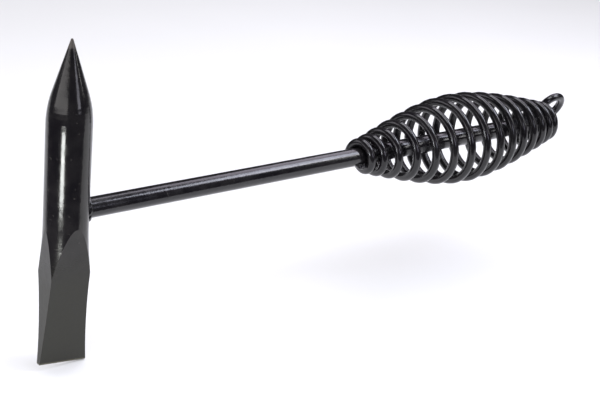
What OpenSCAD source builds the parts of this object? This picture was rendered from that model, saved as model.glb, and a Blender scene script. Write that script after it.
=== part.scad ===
// Slag hammer: a forged head with a cone point and a chisel, a round rod handle,
// a barrel-shaped spring-wire grip wound round the far end of the rod, and a wire
// ring to hang it by. Everything is steel, welded together and dipped in gloss black.
//
// Frame, in millimetres: the origin is the middle of the grip, on the rod's axis.
// +X runs along the handle from the head to the hanging ring, and +Z is the way the
// cone point stands. The chisel's edge lies along X, as on a small axe.

/* [Head] */
// Diameter of the round bar that the head is forged from
head_d = 17; // [16:0.5:19]
// Height of the cone's tip above the rod's axis
point_h = 66.1; // [60:0.1:75]
// Half angle of the cone point, in degrees
cone_angle = 17.6; // [15:0.1:20]
// Radius that rounds the cone's shoulder into the bar
shoulder_r = 40; // [20:1:60]
// Radius of the slightly blunt tip
tip_r = 0.5; // [0.3:0.1:1]

/* [Chisel] */
// Depth of the chisel's edge below the rod's axis
chisel_h = 62.6; // [56:0.1:70]
// Width of the cutting edge
edge_w = 20.2; // [18.5:0.1:21]
// Thickness of the blunt edge
edge_t = 1.8; // [1:0.1:3]
// Width across the forged sides at their narrowest
waist_w = 16.4; // [15:0.1:16.6]
// Angle by which the hand-ground edge is out of square, in degrees
edge_skew = 7; // [0:0.5:8]
// Radius of the hollow in each broad cheek
cheek_r = 520; // [400:10:900]
// Widest radius that the bar spreads to under the forging
spread_r = 10.5; // [10.3:0.1:11]

/* [Handle] */
// Diameter of the handle rod
rod_d = 8; // [7:0.1:8.4]
// Distance from the head's axis to the middle of the grip
reach = 205.6; // [195:0.1:225]
// Depth that the rod is let into the head, past the head's axis
rod_seat = 2; // [0:0.5:4]
// Distance from the middle of the grip to the rod's far end
rod_tail = 61; // [60:0.5:62]

/* [Grip] */
// Diameter of the spring wire
wire_d = 3.8; // [3.4:0.1:4]
// Outer diameter of the barrel at its belly
belly_d = 41.8; // [38:0.1:45]
// Slope of the barrel's cone at the head end
front_slope = 0.336; // [0.32:0.002:0.35]
// Slope of the barrel's cone at the ring end
rear_slope = 0.298; // [0.28:0.002:0.31]
// Roundness of the belly, the depth that rounds the two cones into each other
belly_round = 9; // [7:0.1:11]
// Distance from the grip's middle to the wire's first turn, towards the head
coil_front = 61.5; // [61.2:0.1:61.8]
// Advance of the wire in each turn along the barrel
open_pitch = 9.55; // [9.4:0.05:9.7]
// Advance of the first turn
front_pitch = 5.1; // [4.6:0.05:5.3]
// Advance of the last turn
rear_pitch = 4.6; // [4.55:0.05:4.8]
// Number of turns over which the pitch opens up at the head end
front_ease = 4.3; // [3.8:0.1:4.6]
// Number of turns over which the pitch closes at the ring end
rear_ease = 4; // [3.6:0.1:4.4]

/* [Hanging ring] */
// Inner diameter of the ring
ring_id = 10.4; // [9:0.1:12]
// Angle that the ring's plane leans, about the handle's axis, in degrees
ring_lean = 25; // [15:1:30]

/* [Hidden] */

enamel = [0.055, 0.055, 0.06];
rod_r = rod_d / 2;
wire_r = wire_d / 2;
head_r = head_d / 2;

// The wire is drawn with six sides. Their corners stand out a little from the
// round wire, so that the six-sided wire holds as much steel as the round one.
wire_sides = 6;
corner_r = wire_r * 1.08;
turn_steps = 24;

// Turns are counted from the first point under the rod. The wire starts straight
// behind the rod, three quarters of a turn before it, and ends behind the rod too.
first_turn = -0.75;
last_turn = 14.25;
hug_r = rod_r + corner_r + 0.05;
front_x = -coil_front;

// Share of an eased stretch of the given length that has been gone through at u:
// the sum of a ramp that rises from nothing to one along half a cosine wave.
function eased(u, length) =
    u <= 0 ? 0 :
    u >= length ? u - length / 2 :
    u / 2 - length / (2 * PI) * sin(180 * u / length);

// Place of the wire along the handle after a number of turns
function rear_lag(turn) =
    let (start = last_turn - rear_ease)
    turn <= start ? 0 :
    turn - start - rear_ease / 2 + eased(last_turn - turn, rear_ease);
function coil_x(turn) =
    front_x + front_pitch * (turn - first_turn)
    + (open_pitch - front_pitch) * eased(turn - first_turn, front_ease)
    - (open_pitch - rear_pitch) * rear_lag(turn);

// Radius of the wire's middle line: two cones rounded into each other at the
// belly, and never closer to the rod than where the wire hugs it
function barrel_r(x) =
    let (slope = x < 0 ? front_slope : rear_slope)
    max(hug_r, belly_d / 2 - wire_r + belly_round
        - sqrt(belly_round * belly_round + slope * slope * x * x));

// A point of the wire's middle line. It goes down the near side, under the rod,
// up behind it and over the top, away from the head: a right-hand coil.
function coil_point(turn) =
    let (x = coil_x(turn), r = barrel_r(x), a = 360 * turn)
    [x, r * sin(a), -r * cos(a)];

function unit(v) = v / norm(v);
function coil_heading(turn) = unit(coil_point(turn + 0.002) - coil_point(turn - 0.002));

// The whole middle line: a straight end one wire diameter long, the turns, and
// another straight end. The straight ends run on in the direction of the wire.
coil_rings = round((last_turn - first_turn) * turn_steps);
function coil_turn(i) = first_turn + (last_turn - first_turn) * i / coil_rings;
start_heading = coil_heading(first_turn + 0.01);
end_heading = coil_heading(last_turn - 0.01);
coil_path = concat(
    [coil_point(first_turn) - wire_d * start_heading],
    [for (i = [0:coil_rings]) coil_point(coil_turn(i))],
    [coil_point(last_turn) + wire_d * end_heading]
);
coil_headings = concat(
    [start_heading],
    [for (i = [0:coil_rings]) i == 0 ? start_heading : i == coil_rings ? end_heading :
        coil_heading(coil_turn(i))],
    [end_heading]
);
// Outward direction at each point of the wire, square to the wire
coil_outs = [for (i = [0:len(coil_path) - 1])
    let (k = min(max(i - 1, 0), coil_rings), a = 360 * coil_turn(k),
        out = [0, sin(a), -cos(a)], h = coil_headings[i])
    unit(out - (out * h) * h)];

// Least gap of the wire to itself, between points of turns that lie side by side
coil_gap = min([for (i = [0:len(coil_path) - 1])
    for (j = [i + turn_steps / 2:1:min(i + 2 * turn_steps, len(coil_path) - 1)])
        norm(coil_path[i] - coil_path[j])]) - 2 * corner_r;
echo(least_gap_of_coil_to_itself_mm = coil_gap);
coil_back = coil_path[len(coil_path) - 1];
echo(coil_end = coil_back, coil_span = [coil_x(first_turn), coil_x(last_turn)]);

// A tube of few sides swept along a path, closed at both ends
module swept_wire(path, headings, outs, r, sides) {
    corners = [for (i = [0:len(path) - 1])
        for (k = [0:sides - 1])
            let (side = cross(headings[i], outs[i]), a = 360 * k / sides)
            path[i] + r * (cos(a) * outs[i] + sin(a) * side)];
    rings = len(path);
    walls = [for (i = [0:rings - 2])
        for (k = [0:sides - 1])
            let (n = (k + 1) % sides, p = i * sides, q = p + sides)
            each [[p + k, q + n, p + n], [p + k, q + k, q + n]]];
    ends = [for (k = [1:sides - 2])
        each [[0, k, k + 1], [(rings - 1) * sides, rings * sides - sides + k + 1,
            rings * sides - sides + k]]];
    polyhedron(points = corners, faces = concat(walls, ends));
}

// Half outline of the head's round bar, from the tip down to under the chisel:
// tip, cone, rounded shoulder, bar, and the curve by which the forging spreads it
tip_tangent = [tip_r * cos(cone_angle), point_h - tip_r + tip_r * sin(cone_angle)];
cone_foot_r = head_r - shoulder_r * (1 - cos(cone_angle));
cone_foot_z = tip_tangent[1] - (cone_foot_r - tip_tangent[0]) / tan(cone_angle);
shoulder_z = cone_foot_z - shoulder_r * sin(cone_angle);
spread_top = -6;
spread_len = 26;
head_bottom = -chisel_h - 4;
head_outline = concat(
    [[0, point_h]],
    [for (a = [75:-15:30]) [tip_r * cos(a), point_h - tip_r + tip_r * sin(a)]],
    [for (k = [0:6]) let (a = cone_angle * (1 - k / 6))
        [head_r - shoulder_r * (1 - cos(a)), shoulder_z + shoulder_r * sin(a)]],
    [for (k = [0:8]) let (t = k / 8)
        [head_r + (spread_r - head_r) * pow(t, 1.5), spread_top - spread_len * t]],
    [[spread_r, head_bottom], [0, head_bottom]]
);

// The hollow of a broad cheek is part of a large cylinder. It cuts in from the
// bar's surface at cheek_top and leaves half the edge's thickness at the edge.
cheek_top = -4;
cheek_a = [head_r, cheek_top];
cheek_b = [edge_t / 2, -chisel_h];
cheek_half = norm(cheek_a - cheek_b) / 2;
cheek_along = unit(cheek_a - cheek_b);
cheek_centre = (cheek_a + cheek_b) / 2
    + sqrt(cheek_r * cheek_r - cheek_half * cheek_half) * [cheek_along[1], -cheek_along[0]];

// The forged sides are waisted in the same way, and spread to the edge's width
waist_z = -22;
side_r = (pow(chisel_h + waist_z, 2) + pow((edge_w - waist_w) / 2, 2)) / (edge_w - waist_w);

module head() {
    color(enamel)
    translate([-reach, 0, 0])
    difference() {
        rotate_extrude($fn = 96) polygon(head_outline);
        for (side = [-1, 1]) {
            translate([0, side * cheek_centre[0], cheek_centre[1]])
                rotate([0, 90, 0])
                cylinder(r = cheek_r, h = 4 * head_d, center = true, $fn = 900);
            translate([side * (waist_w / 2 + side_r), 0, waist_z])
                rotate([90, 0, 0])
                cylinder(r = side_r, h = 4 * head_d, center = true, $fn = 720);
        }
        // The ground edge, a little out of square
        translate([0, 0, -chisel_h])
            rotate([0, edge_skew, 0])
            translate([0, 0, -head_d])
            cube([4 * head_d, 4 * head_d, 2 * head_d], center = true);
        // Blind hole that the rod is let into
        translate([-rod_seat, 0, 0])
            rotate([0, 90, 0])
            cylinder(r = rod_r + seat_clearance, h = head_d, $fn = 64);
    }
}
seat_clearance = 0.05;

// The rod, with a small chamfer at its far end
rod_chamfer = 0.6;
module handle_rod() {
    color(enamel)
    rotate([0, 90, 0])
    rotate_extrude($fn = 64)
    polygon([
        [0, -reach - rod_seat], [rod_r, -reach - rod_seat],
        [rod_r, rod_tail - rod_chamfer], [rod_r - rod_chamfer, rod_tail], [0, rod_tail]
    ]);
}

// Small fillet of weld where the rod enters the head
head_fillet = 1.2;
module head_weld() {
    color(enamel)
    translate([-reach, 0, 0])
    difference() {
        rotate([0, 90, 0])
            rotate_extrude($fn = 64)
            polygon([
                [rod_r, 0], [rod_r + head_fillet * 1.6, 0],
                [rod_r + head_fillet * 1.6, head_r - head_fillet * 0.9],
                [rod_r + head_fillet * 0.7, head_r + head_fillet * 0.2],
                [rod_r, head_r + head_fillet]
            ]);
        cylinder(r = head_r, h = 4 * rod_d, center = true, $fn = 96);
    }
}

// The wire of the grip
module grip_coil() {
    color(enamel)
    swept_wire(coil_path, coil_headings, coil_outs, corner_r, wire_sides);
}

// A straight bead of weld with round ends, upright and centred
module bead(r, length) {
    union() {
        cylinder(r = r, h = length, center = true, $fn = 24);
        for (end = [-1, 1])
            translate([0, 0, end * length / 2]) sphere(r, $fn = 24);
    }
}

// Weld that holds the first turn to the rod. It lies along the rod, low on the
// near side, and runs through under the wire.
front_bead_r = 1.7;
front_bead_len = 7.6;
front_bead_x = coil_x(-0.12) - 0.8;
module front_coil_weld() {
    color(enamel)
    translate([front_bead_x, 0, 0])
    rotate([45, 0, 0])
    translate([0, -rod_r - 0.6, 0])
    rotate([0, 90, 0])
    bead(front_bead_r, front_bead_len);
}

// Weld that fills from the rod's end to the last turn, under the rod
rear_bead_r = 1.5;
rear_bead_len = 5;
module rear_coil_weld() {
    color(enamel)
    translate([rod_tail - 2, 0, -rod_r - 0.9])
    rotate([90, 0, 0])
    bead(rear_bead_r, rear_bead_len);
}

// The ring stands behind the last turn and leans about the handle's axis. Its
// side lies against the wire's straight end.
ring_r = ring_id / 2 + wire_r;
ring_centre = coil_back + [ring_r + wire_r + corner_r - 0.1, 0.2, -0.6];
module hanging_ring() {
    color(enamel)
    translate(ring_centre)
    rotate([90 + ring_lean, 0, 0])
    rotate_extrude($fn = 96) translate([ring_r, 0]) circle(wire_r, $fn = 32);
}

// Weld between the wire's straight end and the ring
ring_bead_r = 1.5;
ring_weld_x = coil_back[0] + corner_r;
module ring_weld() {
    color(enamel)
    translate([ring_weld_x, ring_centre[1], ring_centre[2]])
    rotate([ring_lean, 0, 0])
    bead(ring_bead_r, wire_d);
}

head();
handle_rod();
head_weld();
grip_coil();
front_coil_weld();
rear_coil_weld();
hanging_ring();
ring_weld();
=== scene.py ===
# %% [markdown]
# # Slag hammer
#
# A welder's slag hammer, dipped in gloss black enamel: a forged head with a cone point and a
# chisel, a rod handle, a barrel of spring wire for a grip and a small wire ring. The solid parts
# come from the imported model. This script adds the round wire, the uneven weld beads, the paint
# and the studio. Sizes are given in millimetres and turned into metres where a mesh is made.

import math

import bmesh
import bpy
from mathutils import Matrix, Vector, noise


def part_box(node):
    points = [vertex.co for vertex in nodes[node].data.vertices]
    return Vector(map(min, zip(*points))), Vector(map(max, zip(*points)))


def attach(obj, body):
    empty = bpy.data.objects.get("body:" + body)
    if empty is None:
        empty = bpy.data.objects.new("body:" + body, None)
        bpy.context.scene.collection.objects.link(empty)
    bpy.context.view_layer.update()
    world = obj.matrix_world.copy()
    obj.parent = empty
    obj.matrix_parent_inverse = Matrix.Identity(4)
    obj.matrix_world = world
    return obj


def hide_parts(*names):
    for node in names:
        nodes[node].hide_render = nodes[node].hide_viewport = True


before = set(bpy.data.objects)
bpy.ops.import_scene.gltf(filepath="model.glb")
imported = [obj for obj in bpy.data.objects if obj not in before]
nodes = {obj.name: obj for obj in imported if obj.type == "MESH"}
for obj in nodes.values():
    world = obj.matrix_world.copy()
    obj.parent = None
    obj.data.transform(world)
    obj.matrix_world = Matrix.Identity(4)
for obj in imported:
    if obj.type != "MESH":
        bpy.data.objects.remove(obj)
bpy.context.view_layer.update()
scene = bpy.context.scene
MM = 0.001
print("loaded", sorted(nodes))

# %% [markdown]
# ## The middle line of the grip's wire
#
# On the real hammer the grip is one length of spring wire, wound into a barrel round the rod. The
# Screw modifier makes a coil of one width and one pitch. Both change along this one, so a formula
# gives each point of the wire's middle line instead. The line follows two cones rounded into each
# other at the belly. Its pitch opens up over the first turns and closes over the last ones. Turns
# are counted from the first point under the rod.

# %% Lay out the wire's path
REACH = 205.6
ROD_R = 4.0
WIRE_R = 1.9
HUG_R = 6.1
BARREL_R = 19.0
BELLY_ROUND = 9.0
FRONT_SLOPE, REAR_SLOPE = 0.336, 0.298
FIRST_TURN, LAST_TURN = -0.75, 14.25
FRONT_X = -61.5
OPEN_PITCH, FRONT_PITCH, REAR_PITCH = 9.55, 5.1, 4.6
FRONT_EASE, REAR_EASE = 4.3, 4.0
STEPS_PER_TURN = 40


def eased(u, length):
    """Give how much of an eased stretch has been gone through at u."""
    if u <= 0:
        return 0.0
    if u >= length:
        return u - length / 2
    return u / 2 - length / (2 * math.pi) * math.sin(math.pi * u / length)


def coil_x(turn):
    """Give the wire's place along the handle after a number of turns."""
    start = LAST_TURN - REAR_EASE
    lag = 0.0
    if turn > start:
        lag = turn - start - REAR_EASE / 2 + eased(LAST_TURN - turn, REAR_EASE)
    opened = (OPEN_PITCH - FRONT_PITCH) * eased(turn - FIRST_TURN, FRONT_EASE)
    closed = (OPEN_PITCH - REAR_PITCH) * lag
    return FRONT_X + FRONT_PITCH * (turn - FIRST_TURN) + opened - closed


def barrel_r(x):
    """Give the radius of the wire's middle line at a place along the handle."""
    slope = FRONT_SLOPE if x < 0 else REAR_SLOPE
    return max(HUG_R, BARREL_R + BELLY_ROUND - math.hypot(BELLY_ROUND, slope * x))


def coil_point(turn):
    """Give a point of the wire's middle line. The coil is right-handed."""
    x = coil_x(turn)
    a = 2 * math.pi * turn
    return Vector((x, barrel_r(x) * math.sin(a), -barrel_r(x) * math.cos(a)))


def coil_out(turn):
    """Give the direction away from the handle's axis."""
    a = 2 * math.pi * turn
    return Vector((0, math.sin(a), -math.cos(a)))


steps = round((LAST_TURN - FIRST_TURN) * STEPS_PER_TURN)
turns = [FIRST_TURN + (LAST_TURN - FIRST_TURN) * i / steps for i in range(steps + 1)]
start_heading = (coil_point(turns[1]) - coil_point(turns[0])).normalized()
end_heading = (coil_point(turns[-1]) - coil_point(turns[-2])).normalized()
wire_path = [coil_point(FIRST_TURN) - 2 * WIRE_R * start_heading]
wire_path += [coil_point(t) for t in turns]
wire_path += [coil_point(LAST_TURN) + 2 * WIRE_R * end_heading]
wire_outs = [coil_out(FIRST_TURN)] + [coil_out(t) for t in turns] + [coil_out(LAST_TURN)]
print("wire path of", len(wire_path), "points")

# %% [markdown]
# ## A closed tube over a path
#
# The wire, the ring and each weld bead are tubes. A curve with a round bevel would make a smooth
# one, but a weld's skin has to be pushed in and out by noise, and the wire's a little, where the
# enamel gathered as it ran off. So the tube is laid ring by ring over its path, and each point is
# moved by the noise as it is placed.

# %% Define the tube and the bead
def tube(name, path, outs, radii, sides, rough=0.0, grain=0.5, ring=False):
    """Skin a tube of round rings over a path and return it as an object."""
    bm = bmesh.new()
    count = len(path)
    rings = []
    for i, centre in enumerate(path):
        before = path[(i - 1) % count] if ring else path[max(i - 1, 0)]
        after = path[(i + 1) % count] if ring else path[min(i + 1, count - 1)]
        heading = (after - before).normalized()
        out = (outs[i] - heading * outs[i].dot(heading)).normalized()
        side = heading.cross(out)
        corners = []
        for k in range(sides):
            a = 2 * math.pi * k / sides
            away = math.cos(a) * out + math.sin(a) * side
            swell = rough * noise.noise((centre + radii[i] * away) * grain)
            corners.append(bm.verts.new((centre + (radii[i] + swell) * away) * MM))
        rings.append(corners)
    pairs = list(zip(rings, rings[1:]))
    if ring:
        pairs.append((rings[-1], rings[0]))
    for near, far in pairs:
        for k in range(sides):
            n = (k + 1) % sides
            bm.faces.new((near[k], near[n], far[n], far[k]))
    if not ring:
        bm.faces.new(rings[0])
        bm.faces.new(rings[-1])
    bmesh.ops.recalc_face_normals(bm, faces=bm.faces[:])
    mesh = bpy.data.meshes.new(name)
    bm.to_mesh(mesh)
    bm.free()
    for polygon in mesh.polygons:
        polygon.use_smooth = True
    obj = bpy.data.objects.new(name, mesh)
    scene.collection.objects.link(obj)
    return obj


BEAD_STEPS = 44
BEAD_SIDES = 28
BEAD_GRAIN = 0.9
BEAD_END_R = 0.12
RIPPLE = 0.06


def bead(name, middle, half, radius, out, rough):
    """Make an uneven bead of weld, thin at its ends. Half of it lies each side of the middle."""
    start, end = middle - half, middle + half
    path = [start.lerp(end, i / BEAD_STEPS) for i in range(BEAD_STEPS + 1)]
    radii = []
    for i in range(BEAD_STEPS + 1):
        along = abs(2 * i / BEAD_STEPS - 1)
        ripple = 1 + RIPPLE * math.sin(i * 1.1)
        radii.append(max(BEAD_END_R, radius * ripple * max(1 - along**3, 0.0) ** 0.5))
    return tube(name, path, [out] * len(path), radii, BEAD_SIDES, rough, BEAD_GRAIN)


def settle(piece, node):
    """Let a piece ride on the hammer in place of a node."""
    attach(piece, "root")
    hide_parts(node)


print("tube and bead are ready")

# %% [markdown]
# ## The grip and the ring
#
# The grip and the hanging ring are bent from the same round wire. The model's wire has six sides.
# Subdividing it would round it, and also draw it thinner. A new tube over the same path keeps the
# thickness. The ring could be spun from a circle, but through the same tube its surface comes out
# as uneven as the grip's.

# %% Make the wire and the ring
WIRE_SIDES = 18
RING_R = 7.1
RING_POINTS = 96
WIRE_SWELL = 0.05
WIRE_GRAIN = 0.3
RING_LEAN = math.radians(25)
wire_radii = [WIRE_R] * len(wire_path)
wire = tube("grip_wire", wire_path, wire_outs, wire_radii, WIRE_SIDES, WIRE_SWELL, WIRE_GRAIN)
settle(wire, "grip_coil")

low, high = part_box("hanging_ring")
ring_centre = (Vector(low) + Vector(high)) / 2 / MM
ring_up = Vector((0, -math.sin(RING_LEAN), math.cos(RING_LEAN)))
ring_angles = [2 * math.pi * i / RING_POINTS for i in range(RING_POINTS)]
ring_outs = [math.cos(a) * Vector((1, 0, 0)) + math.sin(a) * ring_up for a in ring_angles]
ring_path = [ring_centre + RING_R * out for out in ring_outs]
ring_radii = [WIRE_R] * RING_POINTS
hanging = tube(
    "ring_wire", ring_path, ring_outs, ring_radii, WIRE_SIDES, WIRE_SWELL, WIRE_GRAIN, ring=True
)
settle(hanging, "hanging_ring")
print("wire faces", len(wire.data.polygons))

# %% [markdown]
# ## The welds
#
# A weld bead is a short ridge of melted steel with ripples across it. A stretched sphere could
# stand for one, but it has no ripples, so a tube is used whose radius rises and falls. Each bead
# lies where the model has it. The one at the first turn shows a ragged ridge. The one at the head
# follows the saddle that the rod and the round bar make.

# %% Make the weld beads
ALONG, ACROSS, DOWN = Vector((1, 0, 0)), Vector((0, 1, 0)), Vector((0, 0, -1))
FRONT_HALF, REAR_HALF, RING_HALF = 5.5, 4.0, 3.4
FRONT_BEAD_R, REAR_BEAD_R, RING_BEAD_R = 1.75, 1.5, 1.5
FRONT_BEAD_TURN = -0.12
FRONT_BEAD_SHIFT = -0.8
FRONT_BEAD_LIFT = 0.6
REAR_BEAD_X = 59
REAR_BEAD_LIFT = 0.9
low_near = Vector((0, -math.sin(math.pi / 4), -math.sin(math.pi / 4)))
front_mid = Vector((coil_x(FRONT_BEAD_TURN) + FRONT_BEAD_SHIFT, 0, 0))
front_mid += low_near * (ROD_R + FRONT_BEAD_LIFT)
front = bead("front_weld_bead", front_mid, FRONT_HALF * ALONG, FRONT_BEAD_R, low_near, rough=0.7)
settle(front, "front_coil_weld")

rear_mid = Vector((REAR_BEAD_X, 0, -ROD_R - REAR_BEAD_LIFT))
rear = bead("rear_weld_bead", rear_mid, REAR_HALF * ACROSS, REAR_BEAD_R, DOWN, rough=0.5)
settle(rear, "rear_coil_weld")

low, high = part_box("ring_weld")
ring_weld_mid = (Vector(low) + Vector(high)) / 2 / MM
ring_half = RING_HALF * ring_up
ring_bead = bead("ring_weld_bead", ring_weld_mid, ring_half, RING_BEAD_R, ALONG, rough=0.4)
settle(ring_bead, "ring_weld")

HEAD_R = 8.5
SADDLE_POINTS = 120
SADDLE_SIDES = 20
FILLET_R = 0.8
FILLET_LIFT = 0.25
FILLET_OUT = 0.2
saddle_path = []
saddle_outs = []
for a in [2 * math.pi * i / SADDLE_POINTS for i in range(SADDLE_POINTS)]:
    out = Vector((0, math.cos(a), math.sin(a)))
    foot = (ROD_R + FILLET_LIFT) * out
    x = -REACH + math.sqrt(HEAD_R**2 - foot.y**2) + FILLET_OUT
    saddle_path.append(Vector((x, foot.y, foot.z)))
    saddle_outs.append(out)
saddle_radii = [FILLET_R] * SADDLE_POINTS
head_bead = tube(
    "head_weld_bead",
    saddle_path,
    saddle_outs,
    saddle_radii,
    SADDLE_SIDES,
    rough=0.35,
    grain=1.1,
    ring=True,
)
settle(head_bead, "head_weld")
print("weld beads:", [piece.name for piece in (front, rear, ring_bead, head_bead)])

# %% [markdown]
# ## The enamel
#
# The hammer is coated in black enamel, which never dries quite even. One plain dark colour would
# look like plastic, so two effects are made once, as node groups, and every material uses them.
# One is the skin of the enamel, with its orange peel, its changing shade and its changing gloss.
# The other scatters small scuffs over it. Noise on Object coordinates keeps both fixed in place.

# %% Make the shared effects
def add(tree, kind, values=None):
    """Add a node to a tree and set some of its sockets."""
    node = tree.nodes.new(kind)
    for socket, value in (values or {}).items():
        node.inputs[socket].default_value = value
    return node


def ramp(tree, source, stops):
    """Add a colour ramp with two stops, each a place and a colour."""
    node = tree.nodes.new("ShaderNodeValToRGB")
    for element, (place, colour) in zip(node.color_ramp.elements, stops):
        element.position = place
        element.color = (*colour, 1)
    tree.links.new(source, node.inputs[0])
    return node.outputs[0]


def span(tree, source, low_in, high_in, low_out, high_out):
    """Add a node that maps one range of values to another."""
    node = add(
        tree,
        "ShaderNodeMapRange",
        {1: low_in, 2: high_in, 3: low_out, 4: high_out},
    )
    tree.links.new(source, node.inputs[0])
    return node.outputs[0]


def grain(tree, scale, detail):
    """Add a noise that is fixed to the object."""
    place = tree.nodes.new("ShaderNodeTexCoord")
    node = add(tree, "ShaderNodeTexNoise", {"Scale": scale, "Detail": detail})
    tree.links.new(place.outputs["Object"], node.inputs["Vector"])
    return node.outputs[0]


def new_group(name, outputs):
    """Start a node group with the given outputs."""
    group = bpy.data.node_groups.new(name, "ShaderNodeTree")
    for label, kind in outputs:
        group.interface.new_socket(name=label, in_out="OUTPUT", socket_type=kind)
    return group, group.nodes.new("NodeGroupOutput")


DARK_ENAMEL = (0.004, 0.0035, 0.005)
LIGHT_ENAMEL = (0.011, 0.01, 0.011)
GLOSSIEST, DULLEST = 0.13, 0.26
SHADE_SCALE, GLOSS_SCALE, PEEL_SCALE, SCUFF_SCALE, DUST_SCALE = 140, 260, 420, 620, 1900
PEEL_DEPTH, DUST_DEPTH = 0.09, 0.04
skin, skin_out = new_group(
    "enamel_skin",
    [
        ("Colour", "NodeSocketColor"),
        ("Roughness", "NodeSocketFloat"),
        ("Normal", "NodeSocketVector"),
    ],
)
shade = ramp(skin, grain(skin, SHADE_SCALE, 5), [(0.35, DARK_ENAMEL), (0.7, LIGHT_ENAMEL)])
gloss = span(skin, grain(skin, GLOSS_SCALE, 6), 0.35, 0.7, GLOSSIEST, DULLEST)
peel = add(skin, "ShaderNodeBump", {"Strength": 0.55, "Distance": PEEL_DEPTH * MM})
skin.links.new(grain(skin, PEEL_SCALE, 3), peel.inputs["Height"])
dust = add(skin, "ShaderNodeBump", {"Strength": 0.3, "Distance": DUST_DEPTH * MM})
skin.links.new(grain(skin, DUST_SCALE, 2), dust.inputs["Height"])
skin.links.new(peel.outputs[0], dust.inputs["Normal"])
skin.links.new(shade, skin_out.inputs["Colour"])
skin.links.new(gloss, skin_out.inputs["Roughness"])
skin.links.new(dust.outputs[0], skin_out.inputs["Normal"])

scuffs, scuffs_out = new_group("scuffs", [("Mask", "NodeSocketFloat")])
specks = span(scuffs, grain(scuffs, SCUFF_SCALE, 5), 0.64, 0.74, 0.0, 0.5)
scuffs.links.new(specks, scuffs_out.inputs["Mask"])
print("shared effects:", skin.name, scuffs.name)

# %% [markdown]
# ## The materials
#
# Each part of the hammer gets one of four materials. They share the enamel and differ in their
# clear coat.
# Wear and the head's other marks could be painted by hand, but masks worked out from the height
# stay sharp however close the camera comes. The head's material adds brownish bare steel at the
# tip, duller enamel on the chisel with a painted olive tint of the floor's reflection, and a
# painted reflection of the floor as a light line along its slanting edge.

# %% Make the materials
BARE_STEEL = (0.065, 0.056, 0.052)
SCUFFED = (0.045, 0.042, 0.038)
SCUFF_ROUGHNESS = 0.48
# The cheeks' enamel carries a painted olive tint of the floor's reflection.
CHEEK_ENAMEL_AND_REFLECTION_TINT = (0.0105, 0.0102, 0.0078)
CHEEK_ROUGHNESS = 0.4
# Painted reflection: a light olive line where the chisel's slanting edge mirrors the floor.
EDGE_FLOOR_REFLECTION = (0.075, 0.07, 0.05)
TIP_ROUGHNESS = 0.42
EDGE_DEPTH = 62.6
EDGE_SLOPE = math.tan(math.radians(7))
TIP_FROM, TIP_TO = 61.2, 63.6
CHEEK_FROM, CHEEK_TO = -14, -30
EDGE_REFLECTION_FROM, EDGE_REFLECTION_TO = 0.8, 0.3
RAGGED_BY = 2
WOBBLE_SCALE = 330


def blend_colour(tree, factor, below, above):
    """Mix a plain colour over a linked one."""
    node = tree.nodes.new("ShaderNodeMix")
    node.data_type = "RGBA"
    tree.links.new(factor, node.inputs[0])
    tree.links.new(below, node.inputs[6])
    node.inputs[7].default_value = (*above, 1)
    return node.outputs[2]


def blend_value(tree, factor, below, above):
    """Mix a plain value over a linked one."""
    node = tree.nodes.new("ShaderNodeMix")
    node.data_type = "FLOAT"
    tree.links.new(factor, node.inputs[0])
    tree.links.new(below, node.inputs[2])
    node.inputs[3].default_value = above
    return node.outputs[0]


def enamel(name, coat, coat_roughness):
    """Start an enamel material and return it with its tree, shader and linked parts."""
    material = bpy.data.materials.new(name)
    material.use_nodes = True
    tree = material.node_tree
    shader = tree.nodes["Principled BSDF"]
    shader.inputs["IOR"].default_value = 1.45
    shader.inputs["Coat Weight"].default_value = coat
    shader.inputs["Coat Roughness"].default_value = coat_roughness
    surface = tree.nodes.new("ShaderNodeGroup")
    surface.node_tree = skin
    marks = tree.nodes.new("ShaderNodeGroup")
    marks.node_tree = scuffs
    mask = marks.outputs["Mask"]
    colour = blend_colour(tree, mask, surface.outputs["Colour"], SCUFFED)
    roughness = blend_value(tree, mask, surface.outputs["Roughness"], SCUFF_ROUGHNESS)
    tree.links.new(surface.outputs["Normal"], shader.inputs["Normal"])
    tree.links.new(surface.outputs["Normal"], shader.inputs["Coat Normal"])
    return material, tree, shader, colour, roughness


def finish_enamel(tree, shader, colour, roughness):
    """Link the colour and the roughness to the shader."""
    tree.links.new(colour, shader.inputs["Base Color"])
    tree.links.new(roughness, shader.inputs["Roughness"])


materials = {}
for name, coat, coat_roughness in [
    ("rod_enamel", 0.3, 0.08),
    ("wire_enamel", 0.2, 0.06),
    ("weld_enamel", 0.5, 0.12),
]:
    material, tree, shader, colour, roughness = enamel(name, coat, coat_roughness)
    finish_enamel(tree, shader, colour, roughness)
    materials[name] = material

material, tree, shader, colour, roughness = enamel("head_enamel", 0.25, 0.08)
shader.inputs["Specular IOR Level"].default_value = 0.4
shader.inputs["Specular Tint"].default_value = (1.0, 0.99, 0.88, 1)
place = tree.nodes.new("ShaderNodeTexCoord")
split = tree.nodes.new("ShaderNodeSeparateXYZ")
tree.links.new(place.outputs["Object"], split.inputs[0])
height = split.outputs["Z"]
wobble = span(tree, grain(tree, WOBBLE_SCALE, 4), 0.3, 0.7, -RAGGED_BY * MM, RAGGED_BY * MM)
ragged = tree.nodes.new("ShaderNodeMath")
tree.links.new(height, ragged.inputs[0])
tree.links.new(wobble, ragged.inputs[1])
tip = span(tree, ragged.outputs[0], TIP_FROM * MM, TIP_TO * MM, 0.0, 1.0)
# From the chisel's cheeks down the enamel is duller, and its olive tint is a painted reflection of
# the floor.
cheek = span(tree, ragged.outputs[0], CHEEK_FROM * MM, CHEEK_TO * MM, 0.0, 1.0)
colour = blend_colour(tree, cheek, colour, CHEEK_ENAMEL_AND_REFLECTION_TINT)
roughness = blend_value(tree, cheek, roughness, CHEEK_ROUGHNESS)
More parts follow.
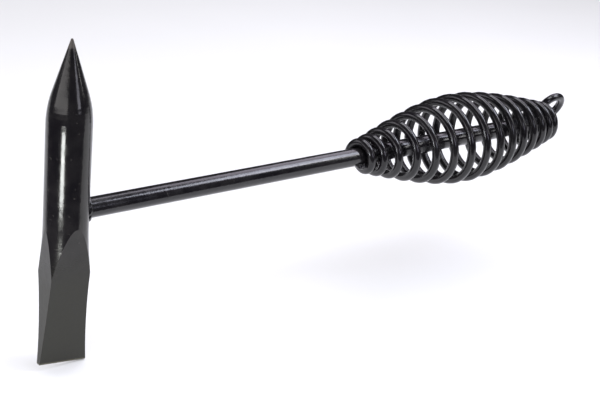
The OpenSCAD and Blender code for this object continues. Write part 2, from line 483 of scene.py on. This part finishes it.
# A painted reflection of the floor, as a light olive line along the chisel's slanting edge.
skewed = tree.nodes.new("ShaderNodeMath")
skewed.operation = "MULTIPLY_ADD"
skewed.inputs[1].default_value = EDGE_SLOPE
tree.links.new(split.outputs["X"], skewed.inputs[0])
tree.links.new(height, skewed.inputs[2])
edge_z = -EDGE_DEPTH - REACH * EDGE_SLOPE
edge_reflection = span(tree, skewed.outputs[0], (edge_z + EDGE_REFLECTION_FROM) * MM, (edge_z + EDGE_REFLECTION_TO) * MM, 0.0, 1.0)
colour = blend_colour(tree, edge_reflection, colour, EDGE_FLOOR_REFLECTION)
colour = blend_colour(tree, tip, colour, BARE_STEEL)
roughness = blend_value(tree, tip, roughness, TIP_ROUGHNESS)
finish_enamel(tree, shader, colour, roughness)
materials["head_enamel"] = material


def dress(obj, material):
    """Give an object its material, in the slots that it has."""
    if not obj.material_slots:
        obj.data.materials.append(material)
    for material_slot in obj.material_slots:
        material_slot.material = material


dress(nodes["head"], materials["head_enamel"])
dress(nodes["handle_rod"], materials["rod_enamel"])
for node in ("grip_coil", "hanging_ring"):
    dress(nodes[node], materials["wire_enamel"])
for node in ("head_weld", "front_coil_weld", "rear_coil_weld", "ring_weld"):
    dress(nodes[node], materials["weld_enamel"])
for piece in (wire, hanging):
    dress(piece, materials["wire_enamel"])
for piece in (front, rear, ring_bead, head_bead):
    dress(piece, materials["weld_enamel"])
print("materials:", sorted(materials))

# %% [markdown]
# ## The studio
#
# The floor is pale and plain, and it catches the hammer's shadow. A wide square would be simpler,
# but the shaft would mirror it as one long white band. So the floor ends just outside the picture
# on the side of the camera, and the shaft mirrors the dark of the room there. A low card makes
# the shaft's bright strip.

# %% Make the floor
FLOOR_GAP = 0.4
FLOOR_EDGE = [
    (-48, -30),
    (170, -170),
    (900, -640),
    (1800, 300),
    (1200, 1900),
    (-700, 1600),
    (-84, 64),
]
floor_z = min(corner.co.z for corner in nodes["head"].data.vertices) - FLOOR_GAP * MM
bm = bmesh.new()
bm.faces.new([bm.verts.new(((x - REACH) * MM, y * MM, floor_z)) for x, y in FLOOR_EDGE])
bmesh.ops.recalc_face_normals(bm, faces=bm.faces[:])
floor_mesh = bpy.data.meshes.new("studio_floor")
bm.to_mesh(floor_mesh)
bm.free()
floor = bpy.data.objects.new("studio_floor", floor_mesh)
scene.collection.objects.link(floor)

PAPER_TONES = [(0.3, (0.71, 0.71, 0.71)), (0.7, (0.73, 0.73, 0.73))]
paper = bpy.data.materials.new("pale_paper")
paper.use_nodes = True
paper_tree = paper.node_tree
paper_shader = paper_tree.nodes["Principled BSDF"]
tone = ramp(paper_tree, grain(paper_tree, 6, 2), PAPER_TONES)
paper_tree.links.new(tone, paper_shader.inputs["Base Color"])
paper_shader.inputs["Roughness"].default_value = 0.9
paper_shader.inputs["Specular IOR Level"].default_value = 0.1
floor.data.materials.append(paper)
print("floor at", round(floor_z, 4))

# %% [markdown]
# ## The light
#
# Black enamel shows its form by what it mirrors. One strong lamp would give it a single hard
# spot, so the light comes from flat cards. A wide soft one hangs above, and two more beyond the
# grip light the top of the rod. Others beside the camera and behind the hammer draw the bright
# lines. The camera sees none of them. The background is white to the camera and dim to the enamel.

# %% Set the lights and the background
def card(name, place, target, size, watts, colour=(1, 1, 1)):
    """Hang a soft light at a place measured from the head, in millimetres."""
    data = bpy.data.lights.new(name, "AREA")
    data.shape = "RECTANGLE"
    data.size, data.size_y = size[0] * MM, size[1] * MM
    data.energy = watts
    data.color = colour
    light = bpy.data.objects.new(name, data)
    light.location = Vector((place[0] - REACH, place[1], place[2])) * MM
    aim = Vector((target[0] - REACH, target[1], target[2])) * MM - light.location
    light.rotation_euler = aim.to_track_quat("-Z", "Y").to_euler()
    light.visible_camera = False
    scene.collection.objects.link(light)


card("top_card", (190, 0, 640), (130, 10, 0), (620, 260), 2.4, (0.95, 0.96, 1.0))
card("rod_card", (610, -250, 600), (60, 0, 0), (420, 280), 3.0, (0.84, 0.86, 1.0))
card("rod_sheen_card", (610, 200, 600), (60, 0, 0), (420, 400), 1.5, (0.92, 0.86, 1.0))
card("shaft_card", (-97, -70, -23), (0, 0, 10), (34, 38), 0.12, (0.92, 0.95, 1.0))
card("cone_card", (-447, -86, 112), (0, 0, 30), (700, 180), 0.95, (0.96, 0.94, 1.0))
card("violet_card", (160, -420, 125), (0, 0, 35), (120, 150), 0.24, (0.82, 0.82, 1.0))
card("back_card", (-260, 330, 240), (0, 0, 0), (300, 260), 0.5, (0.95, 0.92, 1.0))
card("grip_card", (560, -330, 330), (200, 0, 0), (60, 420), 0.45)

AMBIENT = (0.66, 0.66, 0.665)
MIRRORED = (0.07, 0.07, 0.075)
WHITE = (1.0, 1.0, 1.0)
world = bpy.data.worlds.new("studio_world")
scene.world = world
world.use_nodes = True
sky = world.node_tree
ray = sky.nodes.new("ShaderNodeLightPath")
ambient = sky.nodes.new("ShaderNodeRGB")
ambient.outputs[0].default_value = (*AMBIENT, 1)
dimmed = blend_colour(sky, ray.outputs["Is Glossy Ray"], ambient.outputs[0], MIRRORED)
dimmed = blend_colour(sky, ray.outputs["Is Camera Ray"], dimmed, WHITE)
background = sky.nodes["Background"]
sky.links.new(dimmed, background.inputs["Color"])
scene.view_settings.view_transform = "Standard"

# %% [markdown]
# ## The camera
#
# The camera stands where the photograph was taken from, worked out from the coil and the rod. Its
# turn could be three angles. The directions to its right and behind it are easier to check.

# %% Set the camera
CAMERA_PLACE = Vector((-225.8 - REACH, -387.8, 190.2))
CAMERA_RIGHT = Vector((0.7743, -0.6251, 0.0984))
CAMERA_BACK = Vector((-0.6115, -0.6993, 0.3703))
LENS = 78
SENSOR = 36
camera_data = bpy.data.cameras.new("camera")
camera_data.lens = LENS
camera_data.sensor_width = SENSOR
camera_data.clip_start = 0.01
camera = bpy.data.objects.new("camera", camera_data)
back = CAMERA_BACK.normalized()
up = back.cross(CAMERA_RIGHT.normalized()).normalized()
right = up.cross(back)
turn = Matrix((right, up, back)).transposed().to_4x4()
camera.matrix_world = Matrix.Translation(CAMERA_PLACE * MM) @ turn
scene.collection.objects.link(camera)
scene.camera = camera
print("camera at", [round(v, 4) for v in camera.location])
